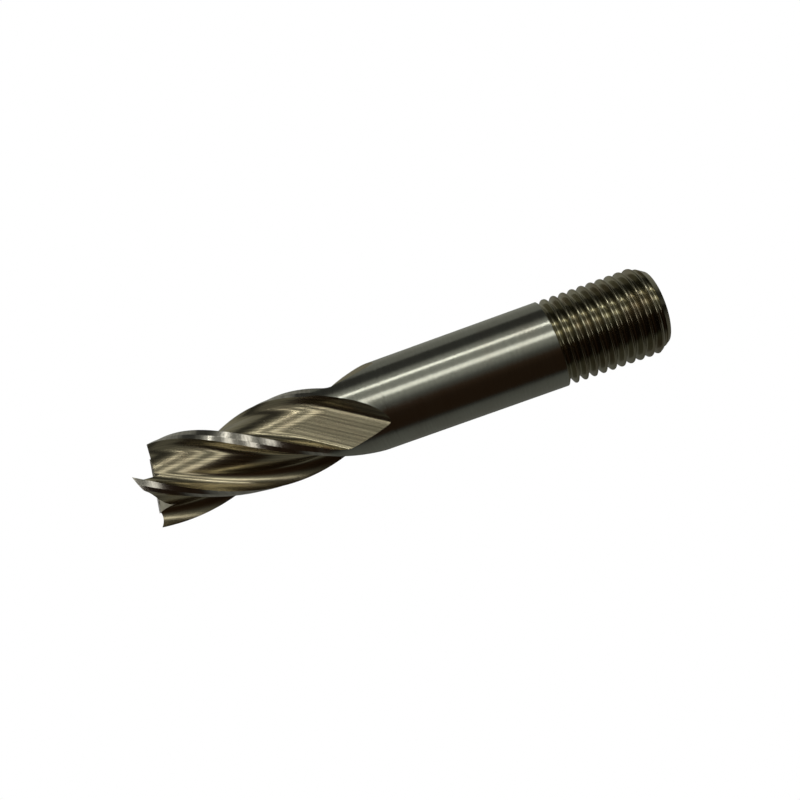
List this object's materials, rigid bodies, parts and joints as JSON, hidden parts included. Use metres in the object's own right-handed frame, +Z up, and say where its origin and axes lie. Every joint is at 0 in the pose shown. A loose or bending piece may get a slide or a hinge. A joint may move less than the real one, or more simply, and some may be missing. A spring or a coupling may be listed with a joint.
{
  "type": "end mill",
  "caption": "Right-hand helical end mill: fluted steel cutting head welded to a plain round shank with a screwed, centre-drilled tail.",
  "frame": {"origin": "on the tool axis at mid length, which is the centre of the bounding box", "axes": "+X along the tool axis, from the cutting end to the screwed tail; +Z up, the tool lying on its side"},
  "size_m": [0.0716, 0.012, 0.012],
  "materials": {
    "ground_tool_steel": "ground, with fine wheel marks along the flutes",
    "ground_shank_steel": "fine ground, darker in the thread"
  },
  "bodies": {
    "root": {"cutting_head": "ground_tool_steel", "shank": "ground_shank_steel"}
  },
  "joints": []
}
